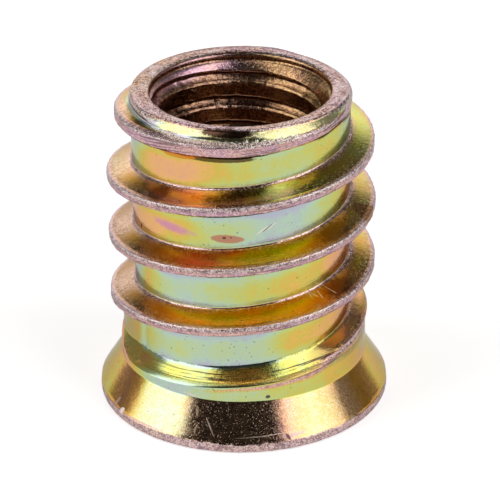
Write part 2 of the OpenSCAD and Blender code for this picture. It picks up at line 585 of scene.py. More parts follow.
class InsertBody:
    """The whole insert as one closed mesh."""

    COLUMNS = 480
    # Depth of the outside's first ring, below which its rows follow the thread
    TOP = 0.1
    # Least distance of a row's point from the first and the last ring
    GAP = 0.015
    # Places of the mesh rows within one lead, in millimetres below the crest's middle
    ROWS = (
        -0.17, -0.13, -0.05, 0.04, 0.13, 0.17, 0.21, 0.28, 0.38, 0.48, 0.58, 0.66, 0.72, 0.76, 0.81,
        0.92, 1.10, 1.32, 1.55, 1.78, 1.98, 2.12, 2.22, 2.28, 2.325, 2.38, 2.46, 2.54, 2.62, 2.69, 2.745,
    )
    # Turns above the tip face and below the flange that the rows are made for
    TURNS = (-2, 5)
    # Tip face: depths of the rings at its edge, shares of the way from there to the bore's mouth, and how far
    # each of those rings lies below the face
    EDGE_DEPTHS = (0.55 * TOP, 0.2 * TOP, 0.0)
    FACE_RINGS = ((0.12, 0.0), (0.35, 0.0), (0.6, 0.0), (0.82, 0.0), (0.94, 0.01), (1.0, 0.035))
    # Shares of the way down the cone and down the socket's bevel, and the rim's insets under its upper edge
    CONE_SHARES = (0.03, 0.15, 0.3, 0.45, 0.6, 0.75, 0.88, 0.97)
    BEVEL_SHARES = (0.0, 0.04, 0.5, 0.97, 1.0)
    RIM_INSETS = (0.0, 0.0, 0.004, 0.04, 0.12)
    FACE_INSETS = (0.5, 1.2)
    SOCKET_HEIGHTS = (1.1, 2.6)
    FLOOR_INSET = 0.01
    # Places of the bore's rows within one pitch, from the deepest to the highest
    BORE_ROWS = (0.70, 0.55, 0.40, 0.33, 0.26, -0.26, -0.33, -0.40)
    BORE_PITCHES = range(9, -4, -1)
    BORE_TOP = 0.45
    BORE_GAP = 0.01
    # Heights above the socket's floor between which the metric thread fades out
    BORE_FADE = (0.6, 0.05)
    MOUTH_DEPTHS = (0.40, 0.37, 0.34, 0.31, 0.28, 0.25, 0.15, 0.05)

    def __init__(self, blank: Blank, thread: OuterThread, bore: BoreThread, socket: Socket) -> None:
        """Keeps the sizes of each form.

        Args:
            blank: the turned blank.
            thread: the coarse outer thread.
            bore: the metric thread.
            socket: the hexagon socket.
        """
        self.blank, self.thread, self.bore, self.socket = blank, thread, bore, socket
        self.outside = OuterSurface(blank, thread)
        self.mesh = RingMesh()
        self.turn = np.arange(self.COLUMNS) / self.COLUMNS
        self.azimuth = FRONT_DEG - 360.0 * np.arange(self.COLUMNS) / self.COLUMNS
        self.speckle = Grain(21)

    def row_depth(self, s: Array, offset: float) -> Array:
        """Depth of a row of points: it follows the ridge, also where the ridge lags at its start.

        Args:
            s: turns along the thread.
            offset: place of the row below the ridge's middle, in millimetres.

        Returns:
            Depths in millimetres.
        """
        th = self.thread
        near = 1.0 - min(max(offset / 2.0, 0.0), 1.0)
        far = min(max((offset - 1.0) / 1.78, 0.0), 1.0)
        return th.start_depth + th.lead * s + offset + near * th.lag(s) + far * th.lag(s + 1.0)

    def winding_row(self, depth: Array, ends: tuple[float, float], rings: tuple[Array, Array], wall: Wall) -> Array:
        """A row that winds round the axis between two rings.

        Args:
            depth: depths of its points, one for each column.
            ends: depths at which the row gives way to the rings.
            rings: point numbers of the upper and of the lower ring.
            wall: gives the columns' radii, from which of them are inside and their depths.

        Returns:
            The point numbers of the row.
        """
        inside = (depth > ends[0]) & (depth < ends[1])
        row = np.where(depth <= ends[0], *rings)
        if inside.any():
            every = self.COLUMNS // len(depth)
            zone = Zone.OUTSIDE if every == 1 else Zone.BORE
            r, z = wall(inside, depth[inside]), self.blank.length - depth[inside]
            row[inside] = self.mesh.ring(self.azimuth[::every][inside], r, z, zone)
        return row

    def helical_grid(self) -> tuple[Array, Array]:
        """Rows that follow the outer thread, cut off square at two depths.

        Returns:
            The point numbers of the first and of the last ring.
        """
        m, out, length, per = self.mesh, self.outside, self.blank.length, len(self.ROWS)
        top, bottom = self.TOP, length - self.blank.cone_top
        rings = tuple(m.ring(self.azimuth, out.radius(self.turn, d), length - d, Zone.OUTSIDE) for d in (top, bottom))
        rows = []
        for row in range(self.TURNS[0] * per, self.TURNS[1] * per):
            depth = self.row_depth(self.turn + row // per, self.ROWS[row % per])
            ends = (top + self.GAP, bottom - self.GAP)
            rows.append(self.winding_row(depth, ends, rings, lambda inside, d: out.radius(self.turn[inside], d)))
        m.weave(rows, per, rings[1])
        return rings

    def tip_face(self, previous: Array) -> Array:
        """The tip face, from the outside's first ring in to the bore's mouth.

        Args:
            previous: point numbers of the first ring.

        Returns:
            The point numbers of the mouth's ring.
        """
        length, mouth, out = self.blank.length, self.bore.mouth_r, self.outside
        rough = self.speckle.at(self.turn, 0.0, 240, 1.0)
        edge = out.radius(self.turn, 0.0)
        rings = [(out.radius(self.turn, depth), length - depth) for depth in self.EDGE_DEPTHS]
        for share, drop in self.FACE_RINGS:
            r = mix(edge, mouth + 0.02, share)
            crown = 0.16 * (share - 0.5) ** 2 * (edge - mouth)
            lump = 0.006 * self.speckle.at(self.turn, r * 3.0, 240, 0.5) + 0.003 * rough
            rings.append((r, length - drop - crown - 0.006 + np.minimum(lump, 0.006)))
        return self.mesh.stack(previous, self.azimuth, rings, Zone.TIP, up=True)

    def flange(self, previous: Array) -> Array:
        """Cone, rim, bevel and face.

        Args:
            previous: point numbers of the neck's last ring.

        Returns:
            The point numbers of the face's inner ring.
        """
        b, m, wave = self.blank, self.mesh, self.speckle
        cone = []
        for share in self.CONE_SHARES:
            z = b.cone_top - (b.cone_top - b.rim_h) * share
            cone.append((b.neck_r + (b.flange_r - b.neck_r) * share + 0.006 * wave.at(self.turn, z, 60, 0.7), z))
        nick = 0.018 * np.clip(wave.at(self.turn, 0.0, 200, 1.0), 0, 1)
        edge = b.flange_r - nick - 0.004
        rim = [(edge - 0.012, b.rim_h - 0.03 + 0.05 * wave.at(self.turn, 3.0, 130, 1.0))]
        heights = (b.rim_h * 0.7, b.rim_h * 0.35, 0.12, 0.05, 0.0)
        rim += [(edge - inset, z) for z, inset in zip(heights, self.RIM_INSETS)]
        face = [(b.flange_r - inset, 0.0) for inset in self.FACE_INSETS]
        for rings, zone in ((cone, Zone.CONE), (rim, Zone.RIM), (face, Zone.SOCKET)):
            previous = m.stack(previous, self.azimuth, rings, zone)
        return previous

    def socket_wall(self, previous: Array) -> Array:
        """Bevel, wall and floor of the socket, with half as many columns.

        Args:
            previous: point numbers of the flange face's inner ring.

        Returns:
            The point numbers of the floor's inner ring.
        """
        so, azimuth = self.socket, self.azimuth[::2]
        hexagon = so.hexagon(azimuth)
        bevel = [mix(so.mouth_r, hexagon, share) for share in self.BEVEL_SHARES]
        walls = [(r, (so.mouth_r - np.maximum(r, hexagon)) * so.mouth_slope) for r in bevel]
        walls += [(hexagon, z) for z in (*self.SOCKET_HEIGHTS, so.depth - 0.04, so.depth)]
        walls.append((so.flat_r - self.FLOOR_INSET, so.depth))
        return self.mesh.stack(previous, azimuth, walls, Zone.SOCKET)

    def bore_wall(self, previous: Array, tip_ring: Array) -> None:
        """Wall of the bore, with half as many columns, joined to the socket's floor and to the tip face.

        Args:
            previous: point numbers of the ring on the socket's floor.
            tip_ring: point numbers of the ring at the bore's mouth.
        """
        m, bore, length, azimuth, turn = self.mesh, self.bore, self.blank.length, self.azimuth[::2], self.turn[::2]
        low = length - bore.start_z
        top, bottom = self.BORE_TOP, low - 0.03
        first = m.ring(azimuth, bore.radius(turn, top, 0.0), length - top, Zone.BORE)
        last = m.ring(azimuth, bore.crest_r, length - bottom, Zone.BORE)
        torn, fade = Grain(31), [low - height for height in self.BORE_FADE]

        def wall(inside: Array, depth: Array) -> Array:
            """Radii of the ragged thread, which fades out above the socket."""
            rag = sum(height * torn.at(turn[inside], depth, cells, pitch) for height, cells, pitch in bore.ragged)
            return mix(bore.radius(turn[inside], depth, rag), bore.crest_r, step(*fade, depth))

        ends = (top + self.BORE_GAP, bottom - self.BORE_GAP)
        offsets = [k * bore.pitch + offset for k in self.BORE_PITCHES for offset in self.BORE_ROWS]
        rows = [self.winding_row(bore.phase + o + bore.pitch * turn, ends, (first, last), wall) for o in offsets]
        m.join(previous, last)
        m.weave(rows, -len(self.BORE_ROWS), last)
        mouth = [(bore.radius(turn, depth, 0.0), length - depth) for depth in self.MOUTH_DEPTHS]
        m.join(m.stack(first, azimuth, mouth, Zone.BORE), tip_ring)

    def build(self) -> bpy.types.Object:
        """Makes the mesh and hands it over as the shown form of the CAD node.

        Returns:
            The piece.
        """
        first, last = self.helical_grid()
        tip_ring = self.tip_face(first)
        self.bore_wall(self.socket_wall(self.flange(last)), tip_ring)
        piece = self.mesh.build("insert_body")
        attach(piece, "root")
        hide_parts(NODE)
        return piece


# ---------------------------------------------------------------- materials


def linear(colour: Colour) -> tuple[float, ...]:
    """Colour for a shader, from its levels of 0 to 255."""
    v = np.array(colour) / 255.0
    return (*np.where(v <= 0.04045, v / 12.92, ((v + 0.055) / 1.055) ** 2.4), 1.0)


class NodeTree:
    """Short helpers round one node tree. A value is either a number or the output of a node."""

    def __init__(self, owner: bpy.types.ID) -> None:
        """Clears the nodes of a material or a world."""
        owner.use_nodes = True
        self.nodes, self.links = owner.node_tree.nodes, owner.node_tree.links
        self.nodes.clear()

    def add(self, kind: str, **values: object) -> bpy.types.Node:
        """Adds a shader node.

        Args:
            kind: its type, without the common start of the name.
            values: the properties to set.

        Returns:
            The node.
        """
        node = self.nodes.new("ShaderNode" + kind)
        for key, value in values.items():
            setattr(node, key, value)
        return node

    def feed(self, socket: bpy.types.NodeSocket, value: object) -> None:
        """Feeds an input.

        Args:
            socket: the input.
            value: an output to link to it, or a plain value.
        """
        if isinstance(value, bpy.types.NodeSocket):
            self.links.new(value, socket)
        else:
            socket.default_value = value

    def maths(self, operation: str, *values: object, clamp: bool = False) -> Output:
        """Adds a maths node.

        Args:
            operation: what the node does.
            values: its inputs.
            clamp: whether the result is kept from 0 to 1.

        Returns:
            The result.
        """
        node = self.add("Math", operation=operation, use_clamp=clamp)
        for socket, value in zip(node.inputs, values):
            self.feed(socket, value)
        return node.outputs[0]

    def times(self, a: object, b: object, clamp: bool = False) -> Output:
        """Product of a and b."""
        return self.maths("MULTIPLY", a, b, clamp=clamp)

    def plus(self, a: object, b: object, clamp: bool = False) -> Output:
        """Sum of a and b."""
        return self.maths("ADD", a, b, clamp=clamp)

    def minus(self, a: object, b: object) -> Output:
        """Difference of a and b."""
        return self.maths("SUBTRACT", a, b)

    def ramp_between(self, low: float, high: float, value: object) -> Output:
        """Smooth step.

        Args:
            low: where it is 0.
            high: where it is 1. It may be the smaller.
            value: the value that is stepped.

        Returns:
            The step.
        """
        node = self.add("MapRange", interpolation_type="SMOOTHSTEP", clamp=True)
        self.feed(node.inputs[0], value)
        ends = (high, low, 1.0, 0.0) if low > high else (low, high, 0.0, 1.0)
        for number, end in enumerate(ends, 1):
            node.inputs[number].default_value = end
        return node.outputs[0]

    def blend(self, share: object, a: object, b: object, kind: str = "MIX") -> Output:
        """Lays one colour over another.

        Args:
            share: how much of the second colour shows.
            a: the first colour.
            b: the second colour.
            kind: how the two are mixed.

        Returns:
            The colour.
        """
        node = self.add("Mix", data_type="RGBA", blend_type=kind)
        for number, value in ((0, share), (6, a), (7, b)):
            self.feed(node.inputs[number], value)
        return node.outputs[2]

    def noise(self, vector: object, scale: float, detail: float, rough: float) -> Output:
        """Noise from 0 to 1.

        Args:
            vector: where it is read.
            scale: cells in a metre.
            detail: number of finer layers.
            rough: strength of the finer layers.

        Returns:
            The noise.
        """
        node = self.add("TexNoise")
        self.feed(node.inputs["Vector"], vector)
        for name, value in (("Scale", scale), ("Detail", detail), ("Roughness", rough)):
            node.inputs[name].default_value = value
        return node.outputs["Fac"]

    def attribute(self, name: str) -> Output:
        """Reads a float attribute of the mesh."""
        return self.add("Attribute", attribute_name=name).outputs["Fac"]

    def split(self, vector: object) -> tuple[Output, Output, Output]:
        """The three parts of a vector."""
        node = self.add("SeparateXYZ")
        self.feed(node.inputs[0], vector)
        return tuple(node.outputs)

    def colours(self, value: object, stops: tuple[tuple[float, Colour], ...]) -> Output:
        """Colour ramp.

        Args:
            value: where the ramp is read.
            stops: places from 0 to 1 and their colours.

        Returns:
            The colour.
        """
        node = self.add("ValToRGB")
        ramp = node.color_ramp
        ramp.interpolation = "LINEAR"
        while len(ramp.elements) < len(stops):
            ramp.elements.new(0.5)
        for element, (place, colour) in zip(ramp.elements, stops):
            element.position = place
            element.color = linear(colour)
        self.feed(node.inputs[0], value)
        return node.outputs[0]


@dataclass(frozen=True)
class Mark:
    """A small mark on the outside: an ellipse with a ragged edge. Some are stains and scratches, others painted
    highlights, painted shade and painted dark reflections. Lengths in millimetres, angles in degrees.
    """

    side: float
    height: float
    half_width: float
    half_height: float
    slant: float
    colour: Colour
    strength: float = 0.8
    ragged: float = 0.5
    dull: float = 0.0
    soft: float = 0.25


@dataclass(frozen=True)
class YellowZinc:
    """Yellow chromate over bright zinc: an iridescent film that runs from pink through gold to green."""

    # Scale, detail and roughness of the noises: clouds, mottling, grit, patches of pits and tool lines
    CLOUD = (620.0, 3.0, 0.55)
    FINE = (4200.0, 3.0, 0.7)
    GRIT = (14000.0, 2.0, 0.7)
    PATCHES = (1300.0, 2.0, 0.6)
    LINES = (15000.0, 2.0, 0.55)
    PIT_SCALE = 4600.0
    # How much the tool lines' noise is stretched round the axis
    LINE_SQUEEZE = 0.03
    RELIEF_HEIGHT = 0.000008
    # Radius at which a mark's side angle is turned into a length, in millimetres
    MARK_R = 5.2

    film: tuple[tuple[float, Colour], ...] = (
        (0.00, (208, 152, 178)),
        (0.07, (218, 160, 163)),
        (0.16, (232, 172, 138)),
        (0.30, (244, 186, 121)),
        (0.42, (225, 192, 90)),
        (0.55, (208, 208, 110)),
        (0.70, (196, 213, 153)),
        (0.85, (188, 212, 190)),
        (1.00, (188, 192, 205)),
    )
    # Zinc without its film: rubbed places, and painted highlights on the cone, in the bore and at the flanks' left
    # ends
    bare: Colour = (220, 194, 190)
    # Painted glints: near-white specks in the base colour
    glint: Colour = (252, 244, 240)
    # Dark colour: dirt, tool lines, and painted shade in the groove's corners, along the lands' lower edges and in
    # the bore
    grime: Colour = (60, 46, 50)
    pit: Colour = (74, 62, 56)
    # Brown: film colour, also in the bore, and painted dark reflection on the flanks and the cone
    umber: Colour = (172, 130, 90)
    amber_tint: Colour = (255, 246, 60)
    edge_tint: tuple[float, float, float, float] = (0.74, 0.70, 0.70, 1.0)
    marks_and_painted_light: tuple[Mark, ...] = (
        Mark(-7.5, 9.90, 0.76, 0.20, 0.0, (190, 128, 104), 0.9, 0.25),
        Mark(-9.0, 9.95, 0.09, 0.06, 0.0, (96, 56, 52), 0.85),
        Mark(-5.5, 9.98, 0.06, 0.04, 0.0, (110, 62, 56), 0.8),
        Mark(10.6, 10.30, 0.34, 0.035, 34.0, (238, 228, 216), 0.9),
        Mark(13.2, 10.38, 0.34, 0.030, 36.0, (112, 104, 92), 0.7),
        Mark(15.2, 10.44, 0.26, 0.030, 36.0, (238, 232, 214), 0.8),
        Mark(71.5, 9.56, 0.55, 0.36, 10.0, (168, 120, 76), 0.9, 0.2),
        Mark(-65.7, 9.22, 0.07, 0.10, 0.0, (40, 32, 30), 1.0),
        Mark(11.0, 2.29, 0.10, 0.09, 0.0, (60, 58, 78), 0.9),
        Mark(-24.5, 2.20, 0.34, 0.05, -10.0, (244, 224, 206), 0.8, 0.9, 0.4),
        Mark(-14.0, 1.06, 0.022, 0.42, 28.0, (236, 212, 186), 0.8, 0.5, 0.4),
        Mark(-20.5, 1.60, 0.05, 0.22, 12.0, (236, 214, 176), 0.5, 2.2, 0.30, 0.5),
        Mark(-20.0, 0.95, 0.05, 0.22, -10.0, (226, 200, 170), 0.5, 2.2, 0.25, 0.5),
        # Painted highlights on an upper flank, right and left of the front
        Mark(16.5, 12.31, 0.60, 0.15, 5.0, (255, 255, 205), 0.8, 0.9, 0.1, 0.7),
        Mark(-29.0, 11.98, 0.42, 0.08, 5.0, (255, 206, 130), 0.8, 0.9, 0.1, 0.6),
        Mark(7.0, 0.76, 1.05, 0.018, 3.0, (236, 216, 204), 0.7, 0.9, 0.35),
        Mark(19.5, 0.66, 0.50, 0.07, 6.0, (226, 190, 190), 0.6, 1.6, 0.3, 0.5),
        Mark(17.5, 0.62, 0.06, 0.13, 20.0, (70, 40, 40), 0.8, 0.9),
        Mark(-57.3, 0.50, 0.09, 0.16, -20.0, (250, 240, 238), 0.8, 1.2, 0.3),
        Mark(-62.4, 0.72, 0.08, 0.20, -15.0, (196, 176, 170), 0.6, 1.4, 0.3, 0.5),
        Mark(-44.0, 0.52, 0.90, 0.05, 2.0, (226, 186, 176), 0.7, 1.2, 0.3),
        # Painted light: a lighter, duller middle of the last flank, where its reflection is dark
        Mark(1.0, 3.17, 1.10, 0.26, 5.0, (255, 184, 80), 0.55, 1.2, 0.22, 0.9),
        Mark(-21.0, 9.02, 0.90, 0.17, 5.0, (206, 84, 74), 0.65, 0.7, 0.0, 0.9),
        # Painted dark reflection and painted highlight on an upper flank, left of the front
        Mark(-40.5, 11.85, 0.45, 0.18, 5.0, (96, 56, 52), 0.7, 0.7, 0.0, 0.8),
        Mark(-21.0, 12.00, 0.50, 0.14, 5.0, (255, 214, 110), 0.7, 0.7, 0.0, 0.8),
        # Painted dark reflections on two lower flanks, right of the front
        Mark(48.5, 9.62, 0.95, 0.20, 5.0, (92, 74, 34), 0.7, 0.7, 0.0, 0.9),
        Mark(51.0, 6.70, 0.80, 0.20, 5.0, (92, 54, 34), 0.8, 0.7, 0.0, 0.9),
        Mark(35.6, 6.70, 0.11, 0.03, 68.0, (255, 246, 226), 0.7, 1.2, 0.4),
        Mark(37.6, 6.70, 0.10, 0.03, -30.0, (255, 246, 226), 0.7, 1.2, 0.4),
        Mark(40.2, 6.68, 0.11, 0.03, 66.0, (255, 246, 226), 0.7, 1.2, 0.4),
        Mark(46.5, 6.72, 0.13, 0.025, -52.0, (255, 246, 226), 0.7, 1.2, 0.4),
        # Painted dark reflection on the slanted band under the tip's edge
        Mark(-7.0, 14.86, 1.35, 0.13, 0.0, (70, 30, 24), 0.92, 0.6),
        # Painted shade on the first root under the first ridge: dark brown at the front, orange further left
        Mark(-12.0, 13.72, 1.75, 0.15, 1.0, (86, 58, 28), 0.9, 0.2),
        Mark(-34.0, 13.64, 0.95, 0.15, 2.0, (214, 134, 44), 0.85, 0.2),
        Mark(-39.0, 10.02, 1.10, 0.20, -3.0, (216, 146, 172), 0.9, 0.7, 0.0, 0.9),
        Mark(33.0, 6.35, 0.30, 0.06, 20.0, (236, 220, 170), 0.5, 2.0, 0.3, 0.6),
    )

    def build(self) -> bpy.types.Material:
        """Makes the material. The mesh gives it the attributes that the dressing writes at each point."""
        material = bpy.data.materials.new("yellow_zinc")
        ZincNodes(self, NodeTree(material)).build()
        return material


class ZincNodes:
    """The nodes of the yellow zinc."""

    def __init__(self, finish: YellowZinc, tree: NodeTree) -> None:
        """Adds the coordinates, the noises, the mottling and the tool lines that the steps share.

        Args:
            finish: the colours and sizes.
            tree: where the nodes go.
        """
        self.finish, self.tree = finish, tree
        self.place = tree.add("TexCoord").outputs["Object"]
        sizes = (finish.CLOUD, finish.FINE, finish.GRIT)
        self.cloud, self.fine, self.grit = (tree.noise(self.place, *size) for size in sizes)
        uneven = tree.plus(tree.times(self.fine, 0.45), tree.times(self.grit, 0.55))
        self.mottle = tree.ramp_between(0.36, 0.64, uneven)
        self.lines = self.tool_lines()

    def build(self) -> None:
        """Joins the steps to the shader."""
        t, finish = self.tree, self.finish
        shader = t.add("BsdfPrincipled")
        colour, dull = self.marked(self.scored(self.pitted(self.rubbed(self.film()))))
        rough = t.plus(t.plus(0.10, t.times(t.attribute("grain"), 0.12)), t.times(self.mottle, 0.08))
        t.feed(shader.inputs["Base Color"], colour)
        t.feed(shader.inputs["Metallic"], 1.0)
        t.feed(shader.inputs["Specular Tint"], finish.edge_tint)
        t.feed(shader.inputs["Roughness"], t.plus(rough, dull, clamp=True))
        t.feed(shader.inputs["Normal"], self.relief())
        t.feed(t.add("OutputMaterial").inputs[0], shader.outputs[0])

    def tool_lines(self) -> Output:
        """Fine lines that the cutting tool leaves along the thread.

        Returns:
            Noise from 0 to 1 that changes quickly across the lay and slowly along it.
        """
        t, squeeze = self.tree, self.finish.LINE_SQUEEZE
        x, y, _ = t.split(self.place)
        merge = t.add("CombineXYZ")
        for number, value in enumerate((t.times(x, squeeze), t.times(y, squeeze), t.times(t.attribute("lay"), MM))):
            t.feed(merge.inputs[number], value)
        return t.noise(merge.outputs[0], *self.finish.LINES)

    def relief(self) -> Output:
        """Fine relief: mottling and grit that grow with the grain, tool lines and sparkling scuffs.

        Returns:
            The normal.
        """
        t, grain = self.tree, self.tree.attribute("grain")
        height = t.times(self.fine, t.plus(0.35, t.times(grain, 4.5)))
        height = t.plus(height, t.times(self.grit, t.plus(0.06, t.times(grain, 3.0))))
        height = t.plus(height, t.times(self.lines, t.plus(0.25, t.attribute("turned"))))
        sparks = t.times(t.ramp_between(0.62, 0.72, self.grit), t.attribute("scuff"))
        node = t.add("Bump")
        t.feed(node.inputs["Strength"], 1.0)
        t.feed(node.inputs["Distance"], self.finish.RELIEF_HEIGHT)
        t.feed(node.inputs["Height"], t.plus(height, t.times(sparks, 3.5)))
        return node.outputs[0]

    def film(self) -> Output:
        """Film, uneven in clouds and in fine mottling, with its amber and its brown, which is partly film colour and
        partly painted dark reflection.

        Returns:
            The colour.
        """
        t, phase = self.tree, self.tree.attribute("film")
        for noise, spread in ((self.cloud, 0.50), (self.fine, 0.26), (self.grit, 0.16)):
            phase = t.plus(phase, t.times(t.minus(noise, 0.5), spread), clamp=noise is self.grit)
        colour = t.blend(t.attribute("umber"), t.colours(phase, self.finish.film), linear(self.finish.umber))
        return t.blend(t.attribute("amber"), colour, linear(self.finish.amber_tint), "MULTIPLY")

    def rubbed(self, colour: Output) -> Output:
        """Lays rubbed zinc, without its film, over the film, with bright painted glints: near-white specks in the
        base colour. The same zinc colour also gives painted highlights on the cone and in the bore and a painted
        paler reflection at the flanks' left ends.

        Args:
            colour: the colour so far.

        Returns:
            The new colour.
        """
        t, bare = self.tree, self.tree.attribute("bare")
        uneven = t.times(t.minus(self.mottle, 0.5), t.times(bare, 0.6))
        colour = t.blend(t.plus(bare, uneven, clamp=True), colour, linear(self.finish.bare))
        # Where the zinc shows most, as along the lands' upper edges, the painted glints are nearly solid: a painted
        # highlight line
        sure = t.times(t.maths("MAXIMUM", t.minus(bare, 0.75), 0.0), 0.5)
        glints = t.times(bare, t.ramp_between(0.55, 0.62, t.plus(self.grit, sure)))
        return t.blend(t.times(glints, 0.9), colour, linear(self.finish.glint))

    def pitted(self, colour: Output) -> Output:
        """Adds scattered pits and the dark colour in the mottling: dirt, and painted shade in the groove's corners,
        along the lands' lower edges and in the bore.

        Args:
            colour: the colour so far.

        Returns:
            The new colour.
        """
        t, finish = self.tree, self.finish
        spots = t.add("TexVoronoi", feature="F1")
        t.feed(spots.inputs["Vector"], self.place)
        t.feed(spots.inputs["Scale"], finish.PIT_SCALE)
        dots = t.ramp_between(0.22, 0.12, spots.outputs["Distance"])
        patchy = t.ramp_between(0.54, 0.66, t.noise(self.place, *finish.PATCHES))
        colour = t.blend(t.times(t.times(dots, patchy), 0.6), colour, linear(finish.pit))
        # Dirt, and painted shade where the dressing asks for it
        dark = t.times(t.attribute("grime"), t.ramp_between(0.58, 0.30, self.mottle), clamp=True)
        return t.blend(dark, colour, linear(finish.grime))

    def scored(self, colour: Output) -> Output:
        """Darkens the deep tool lines on turned places.

        Args:
            colour: the colour so far.

        Returns:
            The new colour.
        """
        t = self.tree
        scored = t.times(t.attribute("turned"), t.ramp_between(0.53, 0.60, self.lines))
        return t.blend(t.times(scored, 0.85), colour, linear(self.finish.grime))

    def marked(self, colour: Output) -> tuple[Output, object]:
        """Lays each Mark over the colour: stains and scratches, and painted highlights, painted shade and painted
        dark reflections.

        Args:
            colour: the colour so far.

        Returns:
            The colour, and how much duller the scratched places are.
        """
        t, mark_r = self.tree, self.finish.MARK_R
        x, y, z = t.split(self.place)
        along = t.times(t.maths("ARCTAN2", x, t.times(y, -1.0)), mark_r)
        up = t.maths("DIVIDE", z, MM)
        rag = t.minus(self.fine, 0.5)
        dull: object = 0.0
        for mark in self.finish.marks_and_painted_light:
            cos, sin = math.cos(math.radians(mark.slant)), math.sin(math.radians(mark.slant))
            u, v = t.minus(along, math.radians(mark.side) * mark_r), t.minus(up, mark.height)
            length, width = t.plus(t.times(u, cos), t.times(v, sin)), t.minus(t.times(v, cos), t.times(u, sin))
            length, width = (
                t.maths("POWER", t.maths("ABSOLUTE", t.maths("DIVIDE", way, half)), 2.0)
                for way, half in ((length, mark.half_width), (width, mark.half_height))
            )
            reach = t.plus(t.plus(length, width), t.times(rag, mark.ragged * 3.0))
            inside = t.times(t.ramp_between(1.0 + mark.soft, 1.0 - mark.soft, reach), mark.strength)
            colour = t.blend(inside, colour, linear(mark.colour))
            if mark.dull:
                dull = t.maths("MAXIMUM", dull, t.times(inside, mark.dull))
        return colour, dull


class Dressing:
    """Gives each point of the mesh its film, bareness, grime and grain.

    Each row of a table holds hundredths from the left edge to the right edge of the front, for one visible turn.
    """

    NAMES = ("film", "bare", "grime", "grain", "scuff", "umber", "amber", "turned")
    SPREAD_DEG = 75.0
    NONE = (0,) * 11
    # Film on the groove's floor and on the flanks
    ROOTS = (
        (80, 40, 24, 27, 40, 53, 60, 60, 44, 50, 95),
        (20, 30, 38, 44, 62, 74, 86, 82, 58, 55, 20),
        (95, 35, 74, 85, 66, 54, 55, 42, 36, 26, 18),
        (95, 60, 80, 72, 80, 78, 62, 42, 34, 28, 15),
        (20, 50, 85, 95, 75, 68, 60, 62, 42, 42, 38),
    )
    FLANKS = (
        (40, 20, 10, 30, 30, 30, 40, 30, 20, 30, 40),
        (36, 30, 14, 14, 40, 42, 78, 58, 50, 50, 60),
        (34, 33, 22, 12, 6, 44, 54, 42, 34, 45, 50),
        (34, 18, 33, 40, 36, 34, 38, 44, 14, 18, 44),
        (50, 42, 60, 64, 58, 38, 56, 62, 48, 26, 30),
    )
    # Brown on the flanks, partly film colour and partly painted dark reflection, and amber in the film on the flanks
    UMBER_AND_DARK_REFLECTION = (
        (30, 70, 90, 20, 60, 90, 30, 20, 70, 50, 30),
        (30, 80, 100, 10, 30, 90, 0, 10, 70, 60, 10),
        (100, 100, 100, 20, 20, 10, 0, 0, 90, 50, 40),
        (100, 90, 40, 0, 0, 0, 0, 0, 30, 60, 20),
        (40, 40, 0, 0, 20, 20, 0, 0, 80, 40, 20),
    )
    AMBER = (
        NONE,
        (30, 70, 30, 0, 0, 0, 20, 60, 60, 40, 30),
        (70, 70, 50, 70, 60, 90, 100, 100, 80, 30, 0),
        (70, 50, 60, 90, 100, 100, 100, 100, 90, 60, 30),
        NONE,
    )
    CONE = (46, 10, 72, 70, 22, 30, 12, 66, 36, 14, 46)
    CONE_AMBER = (0, 60, 10, 0, 10, 0, 0, 0, 90, 80, 0)
    # Film of the tip ring, from the front round to the left, back and right
    RING_FILM = Curve(
        tuple(np.linspace(0.0, 1.0, 13)),
        (0.06, 0.10, 0.12, 0.20, 0.28, 0.26, 0.05, 0.04, 0.12, 0.06, 0.10, 0.24, 0.06),
    )
    # Film of the worn places and of the slanted band under the tip's edge
    WORN_FILM = 0.05
    SLANT_FILM = 0.58
    # Width of the scuffed strip, in millimetres at turns along the thread
    STRIP_WIDTH = Curve((2.75, 2.83, 2.88, 2.95, 3.0, 3.06, 3.2), (0.26, 0.30, 0.26, 0.18, 0.12, 0.07, 0.05))

    def __init__(self, body: InsertBody, piece: bpy.types.Object) -> None:
        """Reads each point's zone and its place, in turns from the front and in millimetres.

        Args:
            body: the form that is dressed.
            piece: the object made from it.
        """
        self.body, self.mesh, self.streaks = body, piece.data, Grain(41)
        count = len(self.mesh.vertices)
        co, self.zone = np.empty(count * 3), np.empty(count, np.float32)
        self.mesh.vertices.foreach_get("co", co)
        self.mesh.attributes["zone"].data.foreach_get("value", self.zone)
        x, y, z = (co.reshape(-1, 3) / MM).T
        self.r, self.turn, self.depth = np.hypot(x, y), turn_of(np.degrees(np.arctan2(y, x))), body.blank.length - z
        self.side = side_of(self.turn)
        # Turns along the thread on its last visible flank
        self.last_turn = np.where(self.turn < 0.5, self.turn + 3.0, self.turn + 2.0)

    def coat(self, **values: object) -> dict[str, object]:
        """Values of one region, with zero for the names that are left out."""
        return {name: values.get(name, 0.0) for name in self.NAMES}

    def along(self, tones: tuple[Tone, ...], tau: Array) -> Array:
        """Tone at a place along the helix.

        Args:
            tones: one row for each visible turn.
            tau: turns along the helix.

        Returns:
            One value for each place.
        """
        places, values = [], []
        for number, tone in enumerate(tones):
            places += list(number + np.linspace(self.SPREAD_DEG, -self.SPREAD_DEG, len(tone)) / 360.0)
            values += tone
        order = np.argsort(places)
        return np.interp(tau, np.array(places)[order], np.array(values)[order] / 100.0)

    def apply(self) -> None:
        """Writes the attributes that the finish reads."""
        values = self.outside()
        for region, part in (
            (Zone.CONE, self.cone()),
            (Zone.RIM, self.coat(film=0.07, bare=0.7, grime=0.55, grain=0.8, scuff=0.7)),
            (Zone.TIP, self.ring()),
            (Zone.BORE, self.bore()),
            (Zone.SOCKET, self.coat(film=0.4, bare=0.15, grime=0.2, grain=0.35, scuff=0.2)),
        ):
            for name, value in part.items():
                values[name] = np.where(self.zone == region.value, value, values[name])
        for name, value in values.items():
            made = self.mesh.attributes.new(name, "FLOAT", "POINT")
            made.data.foreach_set("value", value.astype(np.float32))

